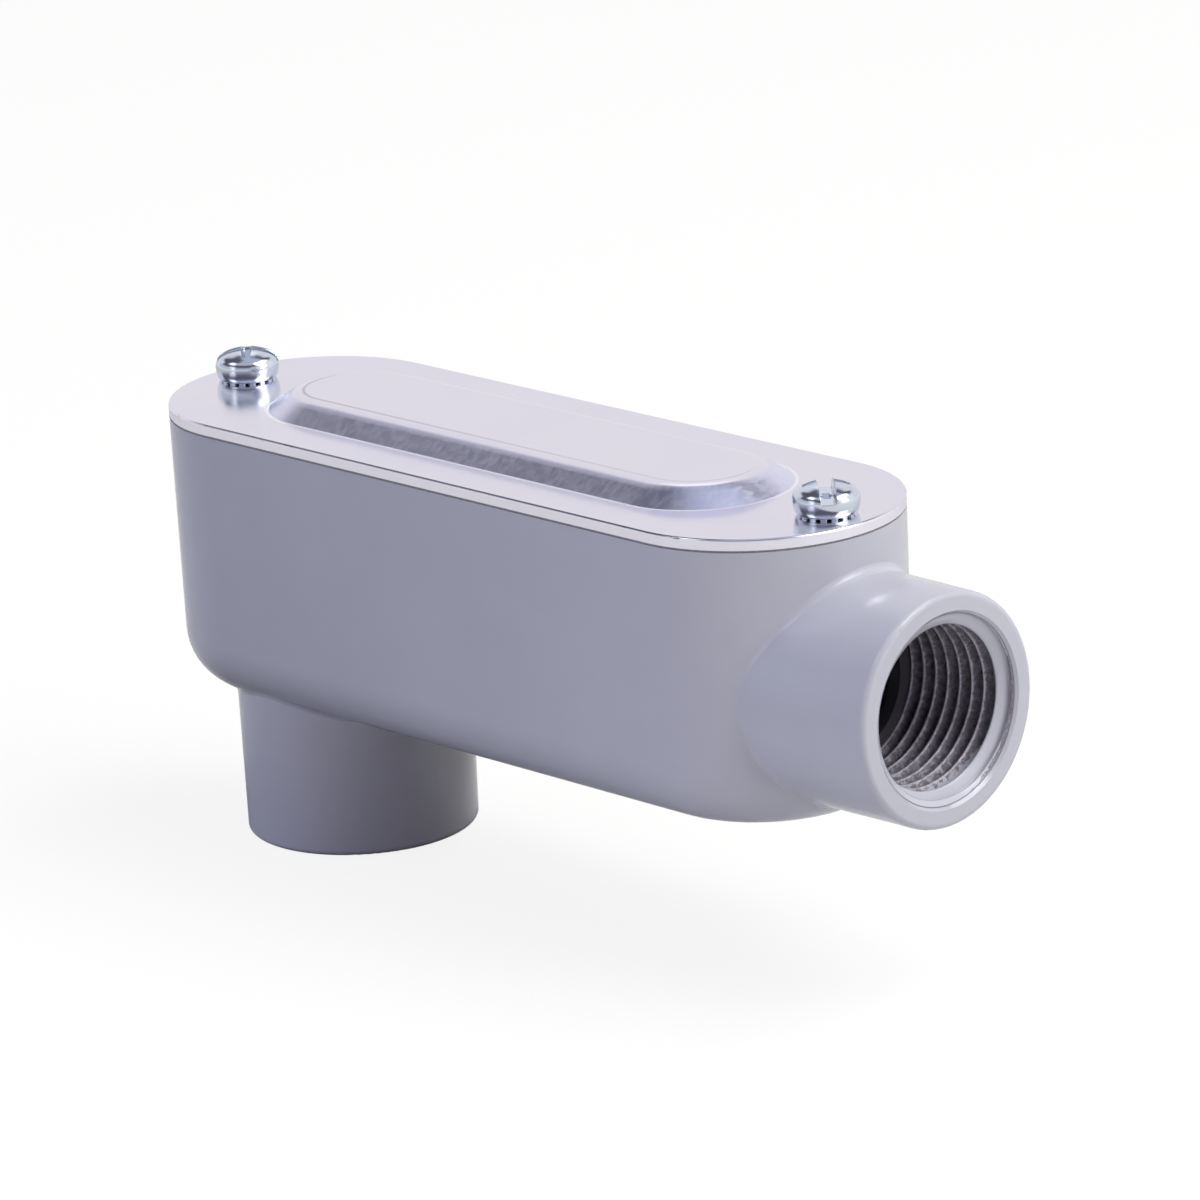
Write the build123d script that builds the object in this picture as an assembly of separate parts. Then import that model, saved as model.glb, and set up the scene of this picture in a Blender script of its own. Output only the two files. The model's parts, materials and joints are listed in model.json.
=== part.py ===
from build123d import *

import math
import os

# Conduit body, type LB. The origin is the centre of the back hub's mouth, +X runs along the body
# towards the end hub, and +Z runs up to the cover. Sizes are in millimetres, angles in degrees.

# Casting
rim_length = 106.4
rim_width = 33.4
body_depth = 32.6
wall = 2.4
floor = 2.6
side_draft = 0.6
bottom_round = 7.0

# Hubs, threaded for half-inch conduit
thread_root_radius = 10.65
thread_length = 14.8
throat_radius = 7.9
hub_draft = 0.7
hub_edge_round = 0.7
hub_root_round = 0.9
mouth_chamfer = 0.4
bushing_lip = 2.6
bushing_wall = 1.75
bushing_round = 1.1

# End hub: its axis lies below the rim, and its mouth stands out from the body's end
end_hub_wall = 2.55
end_hub_drop = 17.65
end_hub_reach = 11.7

# Back hub: its axis is set in from the body's closed end, and its mouth hangs below the bottom
back_hub_wall = 2.95
back_hub_setback = 21.2
back_hub_reach = 17.4

# Gasket
gasket_thickness = 0.25
gasket_inset = 0.15
gasket_land = 2.9

# Cover, stamped from one sheet
cover_thickness = 1.3
cover_edge_round = 0.3
panel_side_margin = 6.1
panel_end_margin = 14.6
panel_height = 2.1
panel_slope_run = 3.1
panel_crown_round = 3.8
panel_foot_round = 0.35

# Cover screws
screw_from_end = 5.5
shank_radius = 2.08
shank_length = 8.0
shank_point = 0.6
head_radius = 3.75
head_height = 3.75
head_shoulder_round = 1.4
head_crown_radius = 6.5
head_seat_round = 0.7
slot_width = 1.65
slot_depth = 1.8
cross_width = 1.3
cross_reach = 2.6
cross_depth = 2.5
cross_floor = 0.45
screw_turns = {"left": 47.0, "right": -41.0}

# Screw bosses inside the body
boss_radius = 4.2
boss_depth = 8.6
tapped_depth = 6.8
tapping_clearance = 0.05
hole_clearance = 0.32

# Modelling allowances: how far a cut runs past what it cuts, and how near two places count as one
overrun = 1.0
nearness = 0.001

# Heights and places worked out from the sizes above
bottom_z = back_hub_reach
rim_z = bottom_z + body_depth
gasket_z = rim_z + gasket_thickness
cover_z = gasket_z + cover_thickness
end_axis_z = rim_z - end_hub_drop
closed_end_x = -back_hub_setback
open_end_x = closed_end_x + rim_length
middle_x = (closed_end_x + open_end_x) / 2
mouth_x = open_end_x + end_hub_reach
end_round_x = open_end_x - rim_width / 2
screw_places = {"left": closed_end_x + screw_from_end, "right": open_end_x - screw_from_end}


def obround(length, width, z):
    """A face with straight sides and round ends, level at height z and centred on the body."""
    return Plane(origin=(middle_x, 0, z)) * SlotOverall(length, width)


def drafted_block(length, width, top, height, edge_round):
    """An obround block that narrows downwards by the casting's draft, with its bottom edge rounded."""
    down = Plane(origin=(middle_x, 0, top), x_dir=(1, 0, 0), z_dir=(0, 0, -1))
    block = extrude(down * SlotOverall(length, width), height, taper=side_draft)
    lowest = block.edges().group_by(Axis.Z)[0]
    return fillet(lowest, edge_round)


def hub(mouth, root, wall_here):
    """A hub's outside: a cone that widens from its mouth to its root, with the mouth's edge rounded."""
    reach = (root - mouth).length
    mouth_radius = thread_root_radius + wall_here
    root_radius = mouth_radius + reach * math.tan(math.radians(hub_draft))
    axis = Plane(origin=mouth, z_dir=root - mouth)
    cone = Cone(mouth_radius, root_radius, reach, align=(Align.CENTER, Align.CENTER, Align.MIN))
    cone = fillet(cone.edges().sort_by(Axis.Z)[0], hub_edge_round)
    return axis * cone


def passage(mouth, inward, depth):
    """What is cut from a hub: the mouth's chamfer, the plain bore of the thread, and the throat."""
    axis = Plane(origin=mouth, z_dir=inward)
    base = (Align.CENTER, Align.CENTER, Align.MIN)
    bore = Cylinder(thread_root_radius, thread_length, align=base)
    throat = Cylinder(throat_radius, depth, align=base)
    countersink = Cone(thread_root_radius + mouth_chamfer, thread_root_radius, mouth_chamfer, align=base)
    return axis * (bore + throat + countersink)


def bushing_boss():
    """The ring inside the end wall that carries the end hub's bushing, as far as the wall itself."""
    inner_x = mouth_x - thread_length - bushing_lip
    reach = open_end_x - wall / 2 - inner_x
    ring = Cylinder(thread_root_radius + bushing_wall, reach, align=(Align.CENTER, Align.CENTER, Align.MIN))
    return Plane(origin=(inner_x, 0, end_axis_z), z_dir=(1, 0, 0)) * ring


def screw_boss(x):
    """A round boss that stands in from the end wall, from the rim down, to take a cover screw."""
    boss = Cylinder(boss_radius, boss_depth, align=(Align.CENTER, Align.CENTER, Align.MAX))
    return Pos(x, 0, rim_z) * boss


def tapped_hole(x):
    """A blind hole for a cover screw, a little wider than the screw's shank."""
    radius = shank_radius + tapping_clearance
    hole = Cylinder(radius, tapped_depth, align=(Align.CENTER, Align.CENTER, Align.MAX))
    return Pos(x, 0, rim_z) * hole


def body_casting():
    """The casting: outside and hubs first, then the wire chamber, then what stands in the chamber."""
    outside = drafted_block(rim_length, rim_width, rim_z, body_depth, bottom_round)
    end_mouth = Vector(mouth_x, 0, end_axis_z)
    back_mouth = Vector(0, 0, 0)
    end_hub = hub(end_mouth, Vector(end_round_x, 0, end_axis_z), end_hub_wall)
    back_hub = hub(back_mouth, Vector(0, 0, bottom_z + bottom_round), back_hub_wall)
    casting = outside
    for one_hub in (end_hub, back_hub):
        joined = casting + one_hub
        root = new_edges(casting, one_hub, combined=joined)
        casting = fillet(root, hub_root_round)

    chamber_length = rim_length - 2 * wall
    chamber_width = rim_width - 2 * wall
    chamber = drafted_block(chamber_length, chamber_width, rim_z, body_depth - floor, bottom_round - wall)
    casting -= chamber
    casting += bushing_boss()
    for x in screw_places.values():
        casting += screw_boss(x)

    lip_x = mouth_x - thread_length - bushing_lip
    casting -= passage(end_mouth, Vector(-1, 0, 0), mouth_x - lip_x + overrun)
    casting -= passage(back_mouth, Vector(0, 0, 1), bottom_z + floor + overrun)
    casting = round_throats(casting, lip_x)
    for x in screw_places.values():
        casting -= tapped_hole(x)
    return casting


def round_throats(casting, lip_x):
    """Rounds the inner edge of both throats, where wires are pulled over them."""
    for place in (Vector(lip_x, 0, end_axis_z), Vector(0, 0, bottom_z + floor)):
        throats = casting.edges().filter_by(GeomType.CIRCLE)
        near = [e for e in throats if abs(e.radius - throat_radius) < nearness]
        edge = min(near, key=lambda e: (e.arc_center - place).length)
        casting = fillet(edge, bushing_round)
    return casting


def screw_holes(radius, z, height):
    """Two round holes on the screws' axes, from height z up."""
    hole = Cylinder(radius, height, align=(Align.CENTER, Align.CENTER, Align.MIN))
    return [Pos(x, 0, z) * hole for x in screw_places.values()]


def gasket():
    """A flat ring on the casting's rim, with a pad round each screw."""
    length = rim_length - 2 * gasket_inset
    width = rim_width - 2 * gasket_inset
    outline = obround(length, width, rim_z)
    opening = obround(length - 2 * gasket_land, width - 2 * gasket_land, rim_z)
    for x in screw_places.values():
        opening -= Pos(x, 0, rim_z) * Circle(boss_radius)
    ring = extrude(outline - opening, gasket_thickness)
    for hole in screw_holes(shank_radius + hole_clearance, rim_z, gasket_thickness):
        ring -= hole
    return ring


def lies_on(edge, others):
    """Whether an edge has the same middle point as one of the others."""
    return min((edge.center() - other.center()).length for other in others) < nearness


def panel_form(grow, z, height):
    """A raised oblong with sloped sides. Its foot is the panel's outline made larger by grow."""
    foot_length = rim_length - 2 * panel_end_margin + 2 * grow
    foot_width = rim_width - 2 * panel_side_margin + 2 * grow
    slope = math.degrees(math.atan2(panel_slope_run, panel_height))
    return extrude(obround(foot_length, foot_width, z), height, taper=slope)


def cover():
    """A flat plate with a hollow raised panel, whose inside follows its outside at the sheet's thickness."""
    plate = extrude(obround(rim_length, rim_width, gasket_z), cover_thickness)
    plate = fillet(plate.edges().group_by(Axis.Z)[-1], cover_edge_round)
    raised = panel_form(0, cover_z, panel_height)
    sheet = plate + raised
    foot = [e for e in sheet.edges() if lies_on(e, raised.edges().group_by(Axis.Z)[0])]
    sheet = fillet(foot, panel_foot_round)
    sheet = fillet(sheet.edges().group_by(Axis.Z)[-1], panel_crown_round)

    # Across a slope the sheet keeps its thickness, so the inside is narrower by this much at one height
    slope_length = math.hypot(panel_slope_run, panel_height)
    run_per_height = panel_slope_run / panel_height
    inset = cover_thickness * (slope_length / panel_height - run_per_height)
    sheet -= panel_form(-inset, gasket_z, panel_height)
    for hole in screw_holes(shank_radius + hole_clearance, gasket_z, cover_thickness):
        sheet -= hole
    return sheet


def screw_head():
    """A pan head: round foot, straight side, round shoulder and domed crown, each tangent to the next."""
    shoulder_x = head_radius - head_shoulder_round
    crown_z = head_height - head_crown_radius
    between = head_crown_radius - head_shoulder_round
    rise = math.sqrt(between**2 - shoulder_x**2)
    side_z = crown_z + rise
    share = head_crown_radius / between
    meeting = (shoulder_x * share, crown_z + rise * share)
    seat = Polyline((0, head_height), (0, 0), (head_radius - head_seat_round, 0))
    foot = TangentArc((head_radius - head_seat_round, 0), (head_radius, head_seat_round), tangent=(1, 0))
    side = Line((head_radius, head_seat_round), (head_radius, side_z))
    shoulder = TangentArc((head_radius, side_z), meeting, tangent=(0, 1))
    crown = TangentArc((0, head_height), meeting, tangent=(1, 0))
    outline = seat + foot + side + shoulder + crown
    return revolve(make_face(Plane.XZ * outline), Axis.Z)


def screw_recess():
    """A straight slot across the head and a cross recess that narrows towards its floor."""
    across = 2 * (head_radius + overrun)
    slot = Box(across, slot_width, slot_depth, align=(Align.CENTER, Align.CENTER, Align.MAX))
    recess = Pos(0, 0, head_height) * slot
    for turn in (0, 90):
        wide = Pos(0, 0, head_height) * Rectangle(2 * cross_reach, cross_width)
        narrow = Pos(0, 0, head_height - cross_depth) * Rectangle(cross_width, cross_floor)
        recess += Rot(0, 0, turn) * loft([narrow, wide])
    return recess


def cover_screw(side):
    """A pan-head screw seated on the cover, with its shank down in the tapped boss."""
    shank = Cylinder(shank_radius, shank_length, align=(Align.CENTER, Align.CENTER, Align.MAX))
    shank = chamfer(shank.edges().sort_by(Axis.Z)[0], shank_point)
    screw = screw_head() + shank - screw_recess()
    return Pos(screw_places[side], 0, cover_z) * Rot(0, 0, screw_turns[side]) * screw


def main():
    os.makedirs("parts", exist_ok=True)
    pieces = {"body_casting": body_casting(), "gasket": gasket(), "cover": cover()}
    for side in screw_places:
        pieces["cover_screw_" + side] = cover_screw(side)
    for name, piece in pieces.items():
        export_step(piece, "parts/" + name + ".step")


main()
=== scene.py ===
import json
import math

import bpy
import numpy as np
from bpy.props import FloatProperty, FloatVectorProperty, IntProperty, PointerProperty
from mathutils import Matrix, Vector


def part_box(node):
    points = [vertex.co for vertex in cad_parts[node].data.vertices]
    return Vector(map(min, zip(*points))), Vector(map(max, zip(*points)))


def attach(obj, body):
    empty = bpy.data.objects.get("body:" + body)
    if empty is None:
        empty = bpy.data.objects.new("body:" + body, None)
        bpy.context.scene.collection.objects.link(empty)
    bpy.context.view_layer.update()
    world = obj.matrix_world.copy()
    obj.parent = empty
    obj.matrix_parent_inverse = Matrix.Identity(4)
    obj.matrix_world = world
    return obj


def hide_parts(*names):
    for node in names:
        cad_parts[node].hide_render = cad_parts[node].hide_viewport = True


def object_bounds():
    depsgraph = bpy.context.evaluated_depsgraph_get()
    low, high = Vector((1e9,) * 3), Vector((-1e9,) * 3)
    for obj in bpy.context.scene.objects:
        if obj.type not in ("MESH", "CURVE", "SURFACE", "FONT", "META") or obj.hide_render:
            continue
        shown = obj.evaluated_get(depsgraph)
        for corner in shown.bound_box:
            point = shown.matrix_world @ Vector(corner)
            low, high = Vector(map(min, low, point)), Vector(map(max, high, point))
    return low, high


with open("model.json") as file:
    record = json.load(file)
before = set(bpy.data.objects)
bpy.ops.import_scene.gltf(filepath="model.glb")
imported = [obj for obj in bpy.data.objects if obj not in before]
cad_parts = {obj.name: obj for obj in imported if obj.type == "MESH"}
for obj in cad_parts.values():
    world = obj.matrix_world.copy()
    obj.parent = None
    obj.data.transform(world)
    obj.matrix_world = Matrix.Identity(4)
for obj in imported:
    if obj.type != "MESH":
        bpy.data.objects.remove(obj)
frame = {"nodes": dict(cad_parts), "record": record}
cad_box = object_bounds()
mounts = {mount["name"]: mount for mount in frame["record"]["mounts"]}

bl_info = {
    "name": "Conduit body finish",
    "version": (1, 0, 0),
    "blender": (4, 5, 0),
    "location": "3D View > Sidebar > Conduit Body",
    "description": "Enamel, bare sheet, plated screws and cut threads for a cast conduit body",
    "category": "Object",
}

MM = 0.001


# Settings


def length_property(name, description, millimetres):
    """A length, given in millimetres and kept in metres."""
    return FloatProperty(
        name=name, description=description, default=millimetres * MM, unit="LENGTH")


def angle_property(name, description, degrees):
    """An angle, given in degrees and kept in radians."""
    return FloatProperty(
        name=name, description=description, default=math.radians(degrees), subtype="ANGLE")


def number_property(name, description, value, subtype="NONE"):
    """A plain number, such as a share or a strength."""
    return FloatProperty(name=name, description=description, default=value, subtype=subtype)


def count_property(name, description, value):
    """A whole number."""
    return IntProperty(name=name, description=description, default=value)


def colour_property(name, description, value):
    """A colour, as red, green and blue."""
    return FloatVectorProperty(
        name=name, description=description, default=value, size=3, subtype="COLOR")


class ThreadSettings(bpy.types.PropertyGroup):
    """Sizes of the internal thread cut in both hubs."""

    pitch: length_property("Pitch", "Advance in one turn", 1.814)
    ridge_height: length_property(
        "Ridge height", "From the root of the thread in to its crest", 1.32)
    crest_share: number_property(
        "Crest share", "Flat crest as a share of the pitch", 0.08, "FACTOR")
    root_share: number_property("Root share", "Flat root as a share of the pitch", 0.14, "FACTOR")
    bore_gap: length_property(
        "Bore gap", "How far the piece stands in from the casting's bore", 0.015)
    shell: length_property("Shell", "Least metal behind the root", 0.04)
    mouth_slope: number_property(
        "Mouth slope", "How far the mouth's cone closes in for each length of depth", 1.3)
    overspray: length_property("Overspray", "How far in from the mouth the enamel reaches", 1.75)
    # The next two lighten the low side of the bore with enamel: partly painted light.
    low_reach_and_light: number_property("Low_side_reach", "How much farther in the enamel reaches on the low side", 0.9)
    low_dust_and_light: number_property(
        "Low_side_dust", "Share of the low side's grooves that stray enamel covers", 0.42, "FACTOR")
    # A thin line at the mouth's edge where the enamel is left off: painted shade.
    edge_shade_depth: length_property(
        "Shade_line depth", "How far in the enamel is chipped along the mouth's edge", 0.22)
    back_inset: length_property("Back inset", "From the back hub's mouth to its first thread", 0.4)
    end_start: angle_property("End hub start", "Where the end hub's thread starts", 90.0)
    back_start: angle_property("Back hub start", "Where the back hub's thread starts", 0.0)
    steps_round: count_property("Steps round", "Points in one turn", 192)
    steps_along: count_property("Steps along", "Points in one pitch", 20)


class ScrewSettings(bpy.types.PropertyGroup):
    """Sizes of the cover screws' heads and of the recess driven into them."""

    shank_length: length_property(
        "Shank length", "From the end of the shank to the underside of the head", 8.0)
    head_height: length_property("Head height", "From the cover to the top of the crown", 3.74)
    shoulder: length_property("Shoulder", "Radius of the head's round shoulder", 1.4)
    crown: length_property("Crown", "Radius of the domed top", 6.5)
    foot: length_property("Foot", "How far the head's side draws in towards its foot", 0.5)
    slot_width: length_property("Slot width", "Width of the straight slot", 1.6)
    slot_depth: length_property("Slot depth", "Depth of the straight slot", 1.8)
    cross_width: length_property("Cross width", "Width of the cross recess", 1.25)
    cross_reach: length_property(
        "Cross reach", "How far the cross recess reaches from the middle", 2.6)
    cross_depth: length_property("Cross depth", "Depth of the cross recess at its middle", 2.5)
    edge_round: length_property("Edge round", "Rounding of the recess's edges", 0.2)
    teeth: count_property("Teeth", "Locking teeth under the head", 16)
    tooth_depth: length_property("Tooth depth", "How far the gaps between the teeth cut in", 0.6)
    tooth_height: length_property("Tooth height", "Height of the toothed edge", 0.17)
    shank_radius: length_property("Shank radius", "Radius of the shank", 2.06)
    left_turn: angle_property("Left turn", "Where the left screw's slot stopped", 47.0)
    right_turn: angle_property("Right turn", "Where the right screw's slot stopped", -41.0)


class FinishSettings(bpy.types.PropertyGroup):
    """Colours of the finishes."""

    enamel: colour_property("Enamel", "Grey enamel of the casting", (0.40, 0.405, 0.475))
    bare_casting: colour_property(
        "Bare casting", "Machined metal inside the hubs", (0.20, 0.19, 0.22))
    sheet: colour_property("Sheet", "Bare sheet of the cover", (0.85, 0.83, 0.88))
    # The slope's streak colours: the rubbed streaks are the metal's own, their bluer tone is
    # painted reflection.
    rubbed_slope_reflection_dark: colour_property(
        "Drawn metal", "Darker streaks on the panel's slope", (0.81, 0.815, 0.98))
    rubbed_slope_reflection_light: colour_property(
        "Rubbed metal", "Lighter streaks on the panel's slope", (0.87, 0.875, 1.0))
    # A painted highlight along the panel's foot.
    foot_highlight: colour_property("Highlight line", "Bright line at the panel's foot", (0.99, 0.98, 1.0))
    # Painted shade along the panel's crown.
    crown_shade_colour: colour_property("Painted_crown_shade", "Faint line along the panel's crown", (0.3, 0.27, 0.32))
    sheared: colour_property("Sheared edge", "Cut edge of the sheet", (0.93, 0.91, 1.0))
    sheet_thickness: length_property("Sheet thickness", "Thickness of the cover's sheet", 1.3)
    panel_straight: length_property(
        "Panel straight", "Half the length of the raised panel's straight sides", 28.0)
    panel_foot: length_property(
        "Panel foot", "Half the width of the raised panel at its foot", 10.6)
    panel_flat: length_property("Panel flat", "Half the width of the raised panel's flat top", 6.33)
    plating: colour_property("Plating", "Bright zinc plating of the screws", (0.74, 0.80, 0.88))
    cut_metal: colour_property("Cut metal", "Metal of the cut threads", (0.37, 0.345, 0.41))
    rubber: colour_property("Rubber", "Gasket", (0.17, 0.17, 0.18))


class StageSettings(bpy.types.PropertyGroup):
    """The camera, the floor and the studio light."""

    azimuth: angle_property("Azimuth", "Direction of the camera", 47.03)
    elevation: angle_property("Elevation", "Height of the camera", 16.82)
    roll: angle_property("Roll", "Turn of the camera about its own view", -3.07)
    distance: length_property("Distance", "From the camera to the middle of the view", 813.5)
    lens: number_property("Lens", "Focal length in millimetres", 216.6)
    target: FloatVectorProperty(
        name="Target", description="The point in the middle of the view",
        default=(0.0429, 0.0, 0.03496), size=3, subtype="XYZ", unit="LENGTH")
    fill: number_property("Fill", "Even light from all round", 0.05)
    floor_size: length_property("Floor size", "Side of the square floor", 12000.0)


# Shader helpers


def empty_tree(owner):
    """The node tree of a material or a world, emptied."""
    owner.use_nodes = True
    owner.node_tree.nodes.clear()
    return owner.node_tree


def new_material(name):
    """A material with a Principled shader only. Returns it, its tree and its shader."""
    material = bpy.data.materials.new(name)
    tree = empty_tree(material)
    output = tree.nodes.new("ShaderNodeOutputMaterial")
    shader = tree.nodes.new("ShaderNodeBsdfPrincipled")
    tree.links.new(shader.outputs["BSDF"], output.inputs["Surface"])
    return material, tree, shader


def put(tree, socket, value):
    """Links a socket to another, or sets its plain value."""
    if isinstance(value, bpy.types.NodeSocket):
        tree.links.new(value, socket)
    else:
        socket.default_value = value


def maths(tree, operation, first, second=0.0, third=0.0):
    """One Math node's result."""
    node = tree.nodes.new("ShaderNodeMath")
    node.operation = operation
    for socket, value in zip(node.inputs, (first, second, third)):
        put(tree, socket, value)
    return node.outputs["Value"]


def ramp(tree, value, low, high, out_low=0.0, out_high=1.0):
    """value mapped smoothly from low..high to out_low..out_high."""
    node = tree.nodes.new("ShaderNodeMapRange")
    node.interpolation_type = "SMOOTHSTEP"
    for name, given in (("Value", value), ("From Min", low), ("From Max", high),
                        ("To Min", out_low), ("To Max", out_high)):
        put(tree, node.inputs[name], given)
    return node.outputs["Result"]


def blend(tree, share, first, second):
    """The first colour where share is 0 and the second where it is 1."""
    node = tree.nodes.new("ShaderNodeMix")
    node.data_type = "RGBA"
    put(tree, node.inputs[0], share)
    for socket, value in ((node.inputs[6], first), (node.inputs[7], second)):
        put(tree, socket, value if isinstance(value, bpy.types.NodeSocket) else (*value, 1.0))
    return node.outputs[2]


def vector_maths(tree, operation, first, second=None, output="Vector"):
    """One Vector Math node's result, of a linked vector and, where one is given, a fixed one."""
    node = tree.nodes.new("ShaderNodeVectorMath")
    node.operation = operation
    tree.links.new(first, node.inputs[0])
    if second is not None:
        node.inputs[1].default_value = second
    return node.outputs[output]


def band(tree, value, start, full, fading, end):
    """0 below start, 1 from full to fading and 0 again over end, with smooth slopes between."""
    rising = ramp(tree, value, start, full)
    falling = ramp(tree, value, fading, end, out_low=1.0, out_high=0.0)
    return maths(tree, "MULTIPLY", rising, falling)


def attribute(tree, name):
    """The value of a piece's own attribute."""
    node = tree.nodes.new("ShaderNodeAttribute")
    node.attribute_name = name
    return node.outputs["Fac"]


def object_place(tree):
    """Object coordinates in metres."""
    return tree.nodes.new("ShaderNodeTexCoord").outputs["Object"]


def object_axes(tree):
    """Object coordinates in metres, as separate X, Y and Z."""
    parts = tree.nodes.new("ShaderNodeSeparateXYZ")
    tree.links.new(object_place(tree), parts.inputs["Vector"])
    return parts.outputs


def place(tree, stretch=(1.0, 1.0, 1.0)):
    """Object coordinates in metres, each axis multiplied by stretch."""
    mapping = tree.nodes.new("ShaderNodeMapping")
    mapping.inputs["Scale"].default_value = stretch
    tree.links.new(object_place(tree), mapping.inputs["Vector"])
    return mapping.outputs["Vector"]


def noise(tree, vector, scale, detail=2.0, roughness=0.5):
    """Fractal noise from 0 to 1, with scale features in a metre."""
    node = tree.nodes.new("ShaderNodeTexNoise")
    put(tree, node.inputs["Vector"], vector)
    put(tree, node.inputs["Scale"], scale)
    node.inputs["Detail"].default_value = detail
    node.inputs["Roughness"].default_value = roughness
    return node.outputs["Fac"]


def bump(tree, height, strength, distance):
    """A normal bent by a height from 0 to 1, which stands for distance in metres."""
    node = tree.nodes.new("ShaderNodeBump")
    node.inputs["Strength"].default_value = strength
    node.inputs["Distance"].default_value = distance
    tree.links.new(height, node.inputs["Height"])
    return node.outputs["Normal"]


def group_node(tree, group, **values):
    """Places a shader group in a tree with its own values."""
    node = tree.nodes.new("ShaderNodeGroup")
    node.node_tree = group
    for name, value in values.items():
        put(tree, node.inputs[name.replace("_", " ")], value)
    return node.outputs


def new_group(name, inputs, outputs):
    """An empty shader group with float inputs and outputs. Returns its tree, inputs and outputs."""
    group = bpy.data.node_groups.new(name, "ShaderNodeTree")
    for label, default in inputs.items():
        socket = group.interface.new_socket(label, in_out="INPUT", socket_type="NodeSocketFloat")
        socket.default_value = default
    for label in outputs:
        group.interface.new_socket(label, in_out="OUTPUT", socket_type="NodeSocketFloat")
    inside = group.nodes.new("NodeGroupInput")
    outside = group.nodes.new("NodeGroupOutput")
    return group, inside.outputs, outside.inputs


def smudge_group():
    """Handling marks: broad soft patches broken up by finer ones, as a value round 0."""
    inputs = {"Size": 12.0 * MM, "Amount": 0.05}
    group, given, result = new_group("Handling marks", inputs, ["Shift"])
    per_metre = maths(group, "DIVIDE", 1.0, given["Size"])
    broad = noise(group, place(group), per_metre, detail=3.0, roughness=0.6)
    centred = maths(group, "SUBTRACT", broad, 0.5)
    doubled = maths(group, "MULTIPLY", centred, 2.0)
    put(group, result["Shift"], maths(group, "MULTIPLY", doubled, given["Amount"]))
    return group


def grain_group():
    """Fine even grain: a height from 0 to 1, and the same as a value round 0."""
    inputs = {"Size": 0.2 * MM, "Amount": 0.05}
    group, given, result = new_group("Fine grain", inputs, ["Height", "Shift"])
    per_metre = maths(group, "DIVIDE", 1.0, given["Size"])
    fine = noise(group, place(group), per_metre, detail=2.0, roughness=0.5)
    put(group, result["Height"], fine)
    centred = maths(group, "SUBTRACT", fine, 0.5)
    put(group, result["Shift"], maths(group, "MULTIPLY", centred, given["Amount"]))
    return group


def streak_group():
    """Rolled or brushed streaks along one axis of the object, as a height from 0 to 1."""
    inputs = {"Along X": 90.0, "Across": 5200.0}
    group, given, result = new_group("Rolling streaks", inputs, ["Height"])
    axes = object_axes(group)
    joined = group.nodes.new("ShaderNodeCombineXYZ")
    put(group, joined.inputs["X"], maths(group, "MULTIPLY", axes["X"], given["Along X"]))
    for axis in "YZ":
        put(group, joined.inputs[axis], maths(group, "MULTIPLY", axes[axis], given["Across"]))
    height = noise(group, joined.outputs["Vector"], scale=1.0, detail=3.0, roughness=0.6)
    put(group, result["Height"], height)
    return group


def effect_groups():
    """The shader groups that the finishes share, made once."""
    makers = {
        "smudge": ("Handling marks", smudge_group),
        "grain": ("Fine grain", grain_group),
        "streak": ("Rolling streaks", streak_group),
    }
    made = bpy.data.node_groups
    return {key: made.get(name) or maker() for key, (name, maker) in makers.items()}


# Finishes


def scaled(colour, factor):
    """A colour with each of its parts multiplied by a factor."""
    return tuple(part * factor for part in colour)


def bore_mask(tree, mount, reach, edge):
    """1 inside a hub's bore and bushing: nearer to its axis than reach, with a soft edge."""
    bushing_length = 3.5
    axis = Vector(mount["axis"])
    away = vector_maths(tree, "SUBTRACT", object_place(tree), Vector(mount["pos_m"]))
    across = vector_maths(tree, "MULTIPLY", away, [1.0 - abs(part) for part in axis])
    distance = vector_maths(tree, "LENGTH", across, output="Value")
    along = vector_maths(tree, "DOT_PRODUCT", away, axis, "Value")
    near = ramp(tree, distance, reach - edge, reach, out_low=1.0, out_high=0.0)
    deepest = -(mount["dims"]["length_mm"] + bushing_length) * MM
    return maths(tree, "MULTIPLY", near, ramp(tree, along, deepest - edge, deepest))


def enamel(settings, groups):
    """Glossy sprayed enamel over a casting, worn through to bare metal where the hubs are bored."""
    material, tree, shader = new_material("grey_enamel")
    marks = group_node(tree, groups["smudge"], Size=14 * MM, Amount=0.05)["Shift"]
    tint = group_node(tree, groups["smudge"], Size=18 * MM, Amount=0.35)["Shift"]
    grain = group_node(tree, groups["grain"], Size=0.35 * MM, Amount=0.04)
    peel = noise(tree, place(tree), scale=620.0, detail=1.0, roughness=0.4)
    casting = noise(tree, place(tree), scale=95.0, detail=2.0, roughness=0.5)

    past_bore = 0.12 * MM
    edge = 0.1 * MM
    bored = [
        bore_mask(tree, mounts[name], mounts[name]["dims"]["r_mm"] * MM + past_bore, edge)
        for name in ("end_hub", "back_hub")
    ]
    bare = maths(tree, "MAXIMUM", *bored)

    shade = ramp(tree, tint, -0.35, 0.35)
    paint = blend(tree, shade, scaled(settings.enamel, 0.945), scaled(settings.enamel, 1.03))
    put(tree, shader.inputs["Base Color"], blend(tree, bare, paint, tuple(settings.bare_casting)))
    gloss = maths(tree, "ADD", maths(tree, "ADD", 0.13, marks), grain["Shift"])
    bare_gloss = maths(tree, "MULTIPLY", bare, 0.6)
    put(tree, shader.inputs["Roughness"], maths(tree, "MAXIMUM", gloss, bare_gloss))
    put(tree, shader.inputs["Metallic"], maths(tree, "MULTIPLY", bare, 0.85))
    shader.inputs["IOR"].default_value = 1.56
    height = maths(tree, "MULTIPLY_ADD", casting, 3.0, peel)
    height = maths(tree, "MULTIPLY_ADD", grain["Height"], 0.12, height)
    put(tree, shader.inputs["Normal"], bump(tree, height, strength=0.35, distance=0.02 * MM))
    return material


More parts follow.
